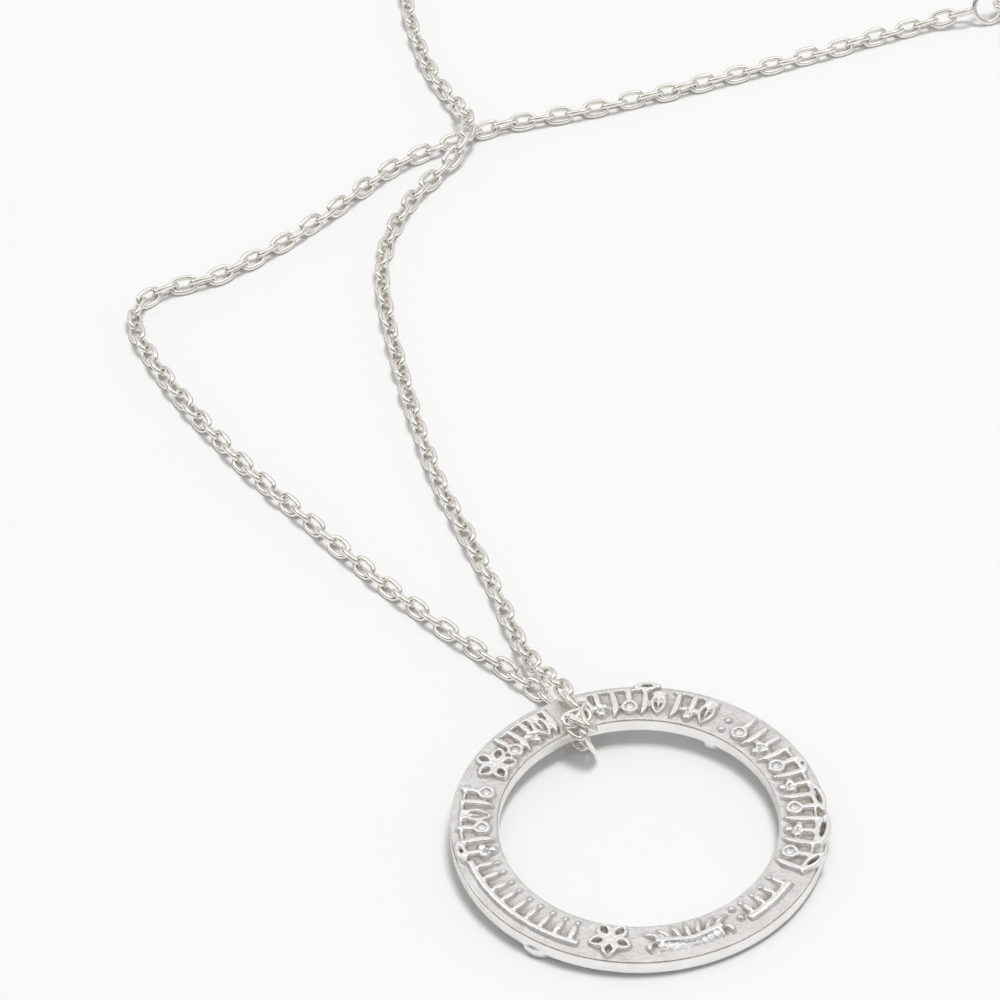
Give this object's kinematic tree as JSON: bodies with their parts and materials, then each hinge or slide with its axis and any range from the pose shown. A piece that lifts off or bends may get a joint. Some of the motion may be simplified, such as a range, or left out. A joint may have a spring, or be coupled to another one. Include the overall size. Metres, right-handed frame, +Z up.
{
  "type": "ring pendant necklace",
  "caption": "Flat cast ring pendant with raised foliage on a fine cable chain, laid on a surface and closed by a spring ring clasp.",
  "frame": {"origin": "on the surface that the necklace lies on, under the middle of the whole necklace's box", "axes": "+Y from the ring pendant towards the back of the neck, +Z up from the surface, +X to the right as the picture shows it"},
  "size_m": [0.1081, 0.186, 0.0045],
  "materials": {
    "cast_silver": "cast silver, satin, with slightly dark recesses",
    "chain_silver": "drawn silver wire, polished",
    "polished_silver": "polished silver"
  },
  "bodies": {
    "necklace": {"ring_pendant": "cast_silver", "chain_over": "chain_silver", "chain_under": "chain_silver", "clasp_body": "polished_silver", "clasp_jump_ring": "polished_silver", "end_ring": "polished_silver"},
    "bolt": {"clasp_bolt": "polished_silver"}
  },
  "joints": [
    {"name": "bolt_slide", "type": "hinge", "parent": "necklace", "child": "bolt", "pos_m": [0.033, 0.0324, 0.00162], "axis": [0, 0, 1], "range_deg": [0, 48], "stiffness_Nm_per_rad": 0.002, "springref_deg": -17.19}
  ]
}
